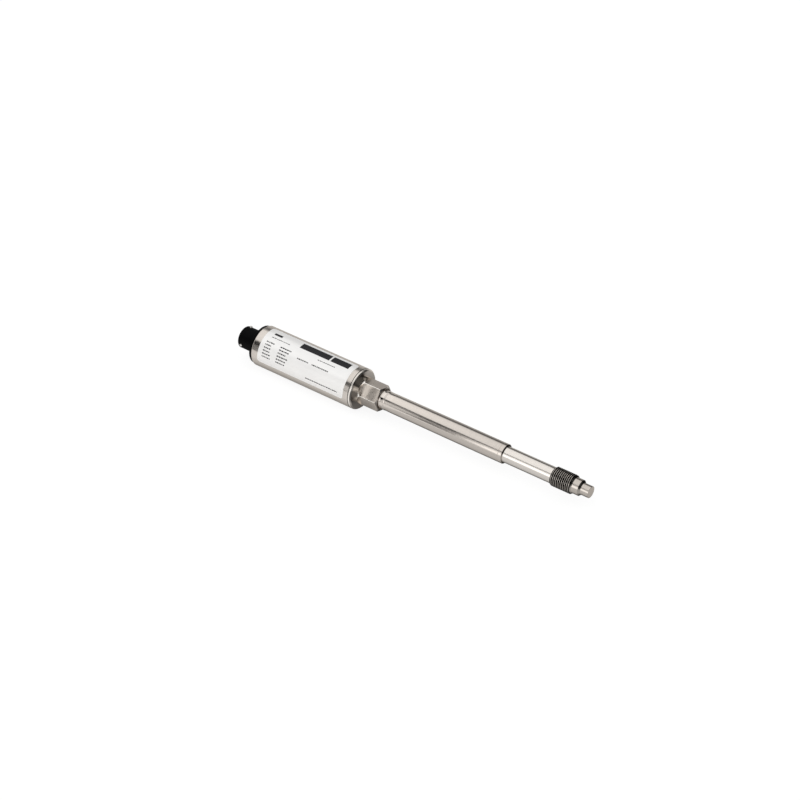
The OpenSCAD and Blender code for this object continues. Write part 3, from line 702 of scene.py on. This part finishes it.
def arc(centre_x, centre_r, radius, start, end):
    """Points (x, r) on an arc between two angles in degrees. Angle 0 is +X and 90 is outwards."""
    turns = [math.radians(start + (end - start) * k / ARC_STEPS) for k in range(ARC_STEPS + 1)]
    return [(centre_x + radius * math.cos(a), centre_r + radius * math.sin(a)) for a in turns]


def rounded(points, radius, closed=True):
    """An outline through (x, r) points with round corners, which take no more than LARGEST_CUT of
    a stretch. Short rows beside each corner hold the straight stretches, so that they shade flat."""
    count = len(points)
    corners = []
    for i, here in enumerate(points):
        here = Vector(here)
        if not closed and i in (0, count - 1):
            corners.append([here])
            continue
        before = Vector(points[i - 1]) - here
        after = Vector(points[(i + 1) % count]) - here
        cut = min(radius, LARGEST_CUT * before.length, LARGEST_CUT * after.length)
        start = here + before.normalized() * cut
        end = here + after.normalized() * cut
        shares = [k / CORNER_STEPS for k in range(CORNER_STEPS + 1)]
        corners.append([start * (1 - s) ** 2 + here * 2 * s * (1 - s) + end * s ** 2 for s in shares])
    outline = []
    for i, corner in enumerate(corners):
        outline += corner
        if not closed and i == count - 1:
            break
        start = corner[-1]
        end = corners[(i + 1) % count][0]
        gap = end - start
        if gap.length > 4 * HOLD_ROW:
            outline.append(start + gap.normalized() * HOLD_ROW)
            outline.append(end - gap.normalized() * HOLD_ROW)
    return outline


def whole_turn(sides):
    return [2 * math.pi * k / sides for k in range(sides)]


def round_axis(x, r, turn):
    """A point off the X axis. Angle 0 is +Y and a quarter turn is +Z."""
    return (x, r * math.cos(turn), r * math.sin(turn))


def rings_through(outline, angles):
    """A ring of points round the X axis for each (x, r) point of an outline."""
    return [[round_axis(x, r, a) for a in angles] for x, r in outline]


def new_piece(name, verts, faces, sharp_over=None, merge=False):
    """An object with smooth shading, apart from edges sharper than an angle in degrees."""
    mesh = bpy.data.meshes.new(name)
    mesh.from_pydata(verts, [], faces)
    bm = bmesh.new()
    bm.from_mesh(mesh)
    if merge:
        bmesh.ops.remove_doubles(bm, verts=bm.verts, dist=MERGE_WITHIN)
    bmesh.ops.recalc_face_normals(bm, faces=bm.faces)
    bm.to_mesh(mesh)
    bm.free()
    mesh.shade_smooth()
    if sharp_over:
        mesh.set_sharp_from_angle(angle=math.radians(sharp_over))
    return new_object(name, mesh)


def skin(name, rows, sharp_over=None):
    """A surface through rows of as many points each, closed both ways. Points that meet become one."""
    sides = len(rows[0])
    verts = [p for row in rows for p in row]
    faces = []
    for i in range(len(rows)):
        a = i * sides
        b = (i + 1) % len(rows) * sides
        for k in range(sides):
            n = (k + 1) % sides
            faces.append((a + k, a + n, b + n, b + k))
    return new_piece(name, verts, faces, sharp_over, merge=True)


def lathe(name, points, radius):
    return skin(name, rings_through(rounded(points, radius), whole_turn(LATHE_SIDES)))


def paint(piece, materials, looks, look_at=None):
    """Gives a piece its looks. look_at names the look of a face from its centre and normal."""
    for look in looks:
        piece.data.materials.append(materials[look])
    if look_at:
        for face in piece.data.polygons:
            face.material_index = looks.index(look_at(face.center, face.normal))


def stand_for(piece, node):
    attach(piece, "root")
    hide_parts(node)


# Pieces that show

# The weld's low swelling: distance from the hexagon, and depth below the stem's surface, in mm.
WELD_SWELLING = [(-0.5, 0), (0.05, 0), (0.95, 0.16), (2.7, 0.05), (3.3, 0.05), (4.3, 0.21), (9, 0.12),
                 (60, 0)]
# A face counts as a front face above this share of its normal along X.
FRONTAL = 0.5


def make_housing(materials):
    bore = housing_r - HOUSING_WALL
    seat = bore + REAR_SHOULDER
    cap_front = tube_rear + REAR_CAP_T
    rear_round = arc(tube_rear + HOUSING_EDGE, housing_r - HOUSING_EDGE, HOUSING_EDGE, 180, 90)
    points = [(tube_rear, seat)] + rear_round + [
        (tube_front - JOINT_BEVEL, housing_r), (tube_front, housing_r - JOINT_BEVEL),
        (tube_front, bore), (cap_front, bore), (cap_front, seat)]
    piece = lathe("housing_sleeve", points, radius=0.05 * MM)

    def look_at(centre, _):
        # The joint's bevel takes near-black steel, painted shade in the groove.
        return "joint_shade_steel" if centre.x > tube_front - JOINT_BEVEL else "housing_steel"

    paint(piece, materials, ["housing_steel", "joint_shade_steel"], look_at)
    stand_for(piece, "housing_tube")


def make_stem(materials):
    """The stem, with the low swelling that its weld leaves in front of the hexagon."""
    bore = stem_r - STEM_WALL
    rear = hex_face - SOCKET_L
    weld = [(hex_face + along * MM, stem_r - depth * MM) for along, depth in WELD_SWELLING]
    points = [(rear, bore), (rear, stem_r)] + weld + [(stem_high.x, stem_r), (stem_high.x, bore)]
    piece = lathe("stem", points, radius=0.25 * MM)
    paint(piece, materials, ["drawn_steel"])
    stand_for(piece, "stem_tube")


def thread_rows(angles):
    """Rows that follow the thread's helix, from the neck to the run-out before the seat. Its crest
    and its root are flat, and their half widths are shares of the pitch."""
    crest_half = 1 / 16
    root_half = 1 / 8
    start = neck_front
    end = thread_front - (thread_root_r - SEAT_R)
    turns = (end - start) / THREAD_PITCH
    rows = []
    for i in range(-THREAD_ROWS, math.ceil(turns * THREAD_ROWS) + 1):
        phase = abs((i / THREAD_ROWS) % 1 - 0.5)
        height = (0.5 - root_half - phase) / (0.5 - root_half - crest_half)
        crest_r = thread_root_r + THREAD_DEPTH * min(max(height, 0), 1)
        row = []
        for a in angles:
            x = start + (i / THREAD_ROWS + a / (2 * math.pi)) * THREAD_PITCH
            x = min(max(x, start), end)
            row.append(round_axis(x, min(crest_r, thread_root_r + min(x - start, end - x)), a))
        rows.append(row)
    return rows


def make_probe_tip(materials):
    """Collar, neck, threaded length, seat and diaphragm end, bored for the plug and the capillary.
    The thread's rows take the place of the points where the two outlines end."""
    angles = whole_turn(PROBE_SIDES)
    spigot_r = stem_r - STEM_WALL - SLIP
    disc_x = tip_end - DISC_T
    plug_rear = disc_x - FILL_GAP - PLUG_L
    root = arc(stem_front + NECK_ROUND, NECK_R + NECK_ROUND, NECK_ROUND, 180, 270)
    behind = rounded([(spigot_rear, PASSAGE_R), (spigot_rear, spigot_r), (stem_high.x, spigot_r),
                      (stem_high.x, stem_r), (stem_front - STEM_CHAMFER, stem_r),
                      (stem_front, stem_r - STEM_CHAMFER)] + root
                     + [(neck_front, NECK_R), (neck_front, thread_root_r)],
                     radius=0.1 * MM, closed=False)
    ahead = rounded([(thread_front - (thread_root_r - SEAT_R), thread_root_r), (thread_front, SEAT_R),
                     (seat_end - (SEAT_R - TIP_R), SEAT_R), (seat_end, TIP_R),
                     (tip_end - TIP_EDGE, TIP_R), (tip_end, TIP_R - TIP_EDGE),
                     (tip_end, DISC_R + SLIP), (disc_x, DISC_R + SLIP), (disc_x, PLUG_R + SLIP),
                     (plug_rear, PLUG_R + SLIP), (plug_rear, PASSAGE_R), (spigot_rear, PASSAGE_R)],
                    radius=FINE_EDGE, closed=False)
    rows = rings_through(behind[:-1], angles) + thread_rows(angles) + rings_through(ahead[1:-1], angles)
    piece = skin("probe", rows, sharp_over=50)
    thread_from = neck_front - 0.1 * MM
    thread_to = thread_front - 0.8 * MM
    seat_from = thread_front - 0.4 * MM
    collar_to = stem_front - 0.01 * MM
    shoulders_to = seat_end + 0.1 * MM

    def look_at(centre, normal):
        if thread_from < centre.x < thread_to:
            return "thread_steel"
        if normal.x > FRONTAL and centre.x < shoulders_to:
            return "shoulder_steel"
        if centre.x < collar_to:
            return "drawn_steel"
        return "seat_steel" if centre.x > seat_from else "ground_steel"

    looks = ["ground_steel", "thread_steel", "drawn_steel", "seat_steel", "shoulder_steel"]
    paint(piece, materials, looks, look_at)
    stand_for(piece, "probe_tip")


def hexagon_rows():
    """The columns' angles round the milled bar, and the rows of the hexagon along them: the top and
    the foot of the round walls that the cutter leaves behind the flats, and the front chamfer's
    edge. Between two flats stands one column on the bar's own round."""
    flat_r = HEX_AF / 2
    half_w = math.sqrt(hex_bar_r ** 2 - flat_r ** 2)
    cutter_x = cap_face + FLAT_BACK + CUTTER_R
    chamfer_x = hex_face - HEX_CHAMFER
    corner_x = cutter_x - math.sqrt(CUTTER_R ** 2 - half_w ** 2)
    side_turn = math.radians(60)
    angles = []
    tops = []
    feet = []
    chamfers = []
    for side in range(6):
        facing = math.radians(HEX_AT) + side * side_turn
        for k in range(FLAT_STEPS + 1):
            across = half_w * (2 * k / FLAT_STEPS - 1)
            turn = facing + math.asin(across / hex_bar_r)
            flat_turn = facing + math.atan2(across, flat_r)
            r = math.hypot(across, flat_r)
            wall_x = cutter_x - math.sqrt(CUTTER_R ** 2 - across ** 2)
            angles.append(turn)
            tops.append(round_axis(wall_x, hex_bar_r, turn))
            feet.append(round_axis(wall_x, r, flat_turn))
            chamfers.append(round_axis(chamfer_x + (hex_bar_r - r) / chamfer_slope, r, flat_turn))
        corner = facing + side_turn / 2
        angles.append(corner)
        tops.append(round_axis(corner_x, hex_bar_r, corner))
        feet.append(round_axis(corner_x, hex_bar_r, corner))
        chamfers.append(round_axis(chamfer_x, hex_bar_r, corner))
    return angles, [tops, feet, chamfers]


def make_front_body(materials):
    """The rim and spigot are turned, and the hexagon is milled with rounded ends behind its flats."""
    front_r = hex_bar_r - HEX_CHAMFER * chamfer_slope
    groove_r = stem_r + WELD_GROOVE_W
    groove_x = hex_face - WELD_GROOVE_L
    socket_r = stem_r + SLIP
    socket_x = hex_face - SOCKET_L
    spigot_r = housing_r - HOUSING_WALL - SLIP
    rear = body_low.x
    capsule_x = rear + CAPSULE_BORE_L
    round_x = cap_face - RIM_CHAMFER - RIM_ROUND * math.tan(math.radians(RIM_CHAMFER_ANGLE / 2))
    rim_round = arc(round_x, housing_r - RIM_ROUND, RIM_ROUND, 90, 90 - RIM_CHAMFER_ANGLE)
    outside = rounded([(rear, CAPSULE_BORE_R), (rear, spigot_r), (tube_front, spigot_r),
                       (tube_front, housing_r - JOINT_BEVEL), (tube_front + JOINT_BEVEL, housing_r)]
                      + rim_round + [(cap_face, housing_r - RIM_CHAMFER), (cap_face, hex_bar_r)],
                      radius=FINE_EDGE, closed=False)
    inside = rounded([(hex_face, front_r), (hex_face, groove_r), (groove_x, groove_r),
                      (groove_x, socket_r), (socket_x, socket_r), (socket_x, PASSAGE_R),
                      (capsule_x, PASSAGE_R), (capsule_x, CAPSULE_BORE_R), (rear, CAPSULE_BORE_R)],
                     radius=FINE_EDGE, closed=False)
    angles, hexagon = hexagon_rows()
    rows = rings_through(outside, angles) + hexagon + rings_through(inside[:-1], angles)
    piece = skin("hexagon_body", rows, sharp_over=24)
    flats_from = cap_face + 0.05 * MM
    corners_r = hex_bar_r - 0.02 * MM
    spigot_to = tube_front - 0.01 * MM

    def look_at(centre, normal):
        off_axis = math.hypot(centre.y, centre.z)
        if normal.x > FRONTAL:
            on_rim = off_axis > hex_bar_r and centre.x < flats_from
            return "rim_face_steel" if on_rim else "chamfer_steel"
        if centre.x > flats_from:
            return "edge_steel" if off_axis > corners_r else "milled_steel"
        if off_axis < housing_r - RIM_CHAMFER or centre.x < spigot_to:
            return "housing_steel"
        # The joint's bevel takes near-black steel, painted shade in the groove.
        return "joint_shade_steel" if centre.x < tube_front + JOINT_BEVEL else "ring_steel"

    looks = ["housing_steel", "chamfer_steel", "milled_steel", "edge_steel", "joint_shade_steel", "ring_steel",
             "rim_face_steel"]
    paint(piece, materials, looks, look_at)
    stand_for(piece, "front_body")


def keyed_columns():
    """(angle, bore radius) round the mating cavity, with its five keyways."""
    key_r = CAVITY_R + KEYWAY_DEPTH
    keys = [(MAIN_KEYWAY_AT, MAIN_KEYWAY_W)] + [(MAIN_KEYWAY_AT + a, KEYWAY_W) for a in KEYWAY_ANGLES]
    keys = sorted((at % 360, w) for at, w in keys)
    columns = []
    for i, (at, w) in enumerate(keys):
        edge = math.degrees(math.asin(w / 2 / CAVITY_R))
        foot = math.degrees(math.atan2(w / 2, key_r))
        foot_r = math.hypot(key_r, w / 2)
        columns += [(at - edge, CAVITY_R), (at - foot, foot_r), (at, key_r), (at + foot, foot_r),
                    (at + edge, CAVITY_R)]
        next_at, next_w = keys[(i + 1) % len(keys)]
        next_edge = math.degrees(math.asin(next_w / 2 / CAVITY_R))
        stretch = (next_at - at) % 360 - edge - next_edge
        count = math.ceil(stretch / KEYED_STEP)
        columns += [(at + edge + stretch * k / count, CAVITY_R) for k in range(1, count)]
    return [(math.radians(a), r) for a, r in columns]


def make_connector(materials):
    columns = keyed_columns()
    angles = [a for a, _ in columns]
    insert_face = barrel_rim + CAVITY_L
    outside = rounded([(barrel_rim, CAVITY_R + BORE_EDGE), (barrel_rim, BARREL_R - BARREL_EDGE),
                       (barrel_rim + BARREL_EDGE, BARREL_R), (flange_face, BARREL_R),
                       (flange_face, flange_r), (tube_rear, flange_r), (tube_rear, SHANK_R),
                       (shell_high.x, SHANK_R), (shell_high.x, INSERT_BORE_R),
                       (insert_face, INSERT_BORE_R)], radius=0.25 * MM, closed=False)
    rows = rings_through(outside[1:], angles)
    for x, spread in ((insert_face, 0), (barrel_rim + BORE_EDGE, 0), (barrel_rim, BORE_EDGE)):
        rows.append([round_axis(x, max(r, CAVITY_R + spread), a) for a, r in columns])
    piece = skin("receptacle", rows, sharp_over=24)
    paint(piece, materials, ["black_finish"])
    stand_for(piece, "connector_shell")


# Label

# Bars in millimetres on the label, each (from its rear end, from its top, length, height): heavy
# ones at the top, rows of small print beside them and below, and a list of short rows in columns.
HEAVY_BARS = [(27, 2.2, 24, 5.2), (52.2, 2.2, 14.3, 5.2), (5, 4.4, 6.4, 1.8)]
UPPER_PRINT = [(44, 10.0, 14, 0.5), (5, 8.3, 15, 0.5)]
LOWER_PRINT = [(30, 14.5, 9, 0.75), (42, 14.5, 14, 0.75), (40, 24.6, 26, 0.7)]
LIST_COUNT = 6
LIST_TOP = 12.3
LIST_STEP = 2.1
LIST_HEIGHT = 0.8
# Each column of the list: its place, and its shortest and longest row.
LIST_COLUMNS = [(3.5, 4.5, 7), (15, 6, 10)]
DASH_LENGTHS = (0.5, 1.7)
DASH_GAPS = (0.25, 0.45)
DASH_SHIFT = 0.04
SHORTEST_DASH = 0.4
PRINT_SEED = 5


def label_point(u, v, r):
    """A point u along the label from its rear end and v down from its top edge."""
    turn = math.radians(LABEL_AT - LABEL_ARC / 2) + v / label_r
    return round_axis(label_low.x + u, r, turn)


def bent_plate(verts, faces, outline_of, places, rows, low_r, high_r):
    """Adds a thin plate bent round the axis. outline_of(u) gives its top and bottom at a place."""
    first = len(verts)
    for r in (low_r, high_r):
        for u in places:
            top, bottom = outline_of(u)
            verts += [label_point(u, top + (bottom - top) * k / rows, r) for k in range(rows + 1)]
    wide = rows + 1
    layer = len(places) * wide
    for i in range(len(places) - 1):
        for k in range(rows):
            a = first + i * wide + k
            corner = (a, a + 1, a + wide + 1, a + wide)
            faces.append(corner)
            faces.append(tuple(c + layer for c in reversed(corner)))
    rim = [first + k for k in range(wide)]
    rim += [first + i * wide + rows for i in range(1, len(places))]
    rim += [first + (len(places) - 1) * wide + k for k in range(rows - 1, -1, -1)]
    rim += [first + i * wide for i in range(len(places) - 2, 0, -1)]
    for a, b in zip(rim, rim[1:] + rim[:1]):
        faces.append((a, b, b + layer, a + layer))


def make_label(materials):
    steps = 8
    near = [LABEL_CORNER * (1 - math.cos(math.radians(90 * k / steps))) for k in range(steps + 1)]
    places = near + [label_l - u for u in reversed(near)]

    def outline_of(u):
        into = LABEL_CORNER - min(u, label_l - u, LABEL_CORNER)
        cut = LABEL_CORNER - math.sqrt(max(LABEL_CORNER ** 2 - into ** 2, 0))
        return cut, label_w - cut

    verts = []
    faces = []
    bent_plate(verts, faces, outline_of, places, LABEL_ROWS, housing_r, label_r)
    piece = new_piece("name_plate", verts, faces, sharp_over=40)
    paint(piece, materials, ["label_film"])
    stand_for(piece, "label")


def printed_words(dice, u, v, length, height):
    """A row of short dashes of uneven length, which stands for small print: (u, v, length, height)."""
    words = []
    end = u + length
    while u < end - SHORTEST_DASH:
        word = min(dice.uniform(*DASH_LENGTHS), end - u)
        words.append((u, v + dice.uniform(-DASH_SHIFT, DASH_SHIFT), word, height))
        u += word + dice.uniform(*DASH_GAPS)
    return words


def label_layout():
    """All bars and dashes on the label, in millimetres."""
    dice = random.Random(PRINT_SEED)
    bars = list(HEAVY_BARS)
    for row in UPPER_PRINT:
        bars += printed_words(dice, *row)
    for i in range(LIST_COUNT):
        for u, shortest, longest in LIST_COLUMNS:
            length = dice.uniform(shortest, longest)
            bars += printed_words(dice, u, LIST_TOP + LIST_STEP * i, length, LIST_HEIGHT)
    for row in LOWER_PRINT:
        bars += printed_words(dice, *row)
    return bars


def make_print(materials):
    verts = []
    faces = []
    for u, v, length, height in label_layout():
        rows = max(1, round(height / PRINT_ROW))
        top = v * MM
        bottom = (v + height) * MM
        bent_plate(verts, faces, lambda _: (top, bottom), [u * MM, (u + length) * MM], rows,
                   label_r - INK_T, label_r + INK_T)
    piece = new_piece("label_print", verts, faces, sharp_over=40)
    paint(piece, materials, ["label_ink"])
    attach(piece, "root")


# Nodes that keep their own mesh

NODE_LOOKS = {
    "seat_steel": ["tip_diaphragm"],
    "bright_steel": ["tip_plug", "capillary_tube", "bayonet_studs", "connector_nut", "insert_snap_ring",
                     "capsule_base", "standoffs", "board_screws", "capacitors"],
    "inner_steel": ["rear_cap", "sensing_cup", "capsule_ring"],
    "seal_rubber": ["front_seal", "rear_seal", "connector_gasket"],
    "black_resin": ["connector_insert"],
    "contact_gold": ["contact_pins"],
    "gauge_film": ["strain_gauge"],
    "wire_cover": ["gauge_leads"],
    "circuit_board": ["gauge_board", "amplifier_board", "connector_board"],
    "chip_resin": ["amplifier_chips"],
    "trimmer_plastic": ["trimmers"],
}


def dress_nodes(materials):
    for look, names in NODE_LOOKS.items():
        for name in names:
            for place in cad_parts[name].material_slots:
                place.material = materials[look]


make_camera()
make_floor()
make_world()
make_reflector()
make_lamp()
finishes = make_materials()
dress_nodes(finishes)
make_housing(finishes)
make_stem(finishes)
make_probe_tip(finishes)
make_front_body(finishes)
make_connector(finishes)
make_label(finishes)
make_print(finishes)

bpy.context.scene.view_settings.view_transform = "Standard"
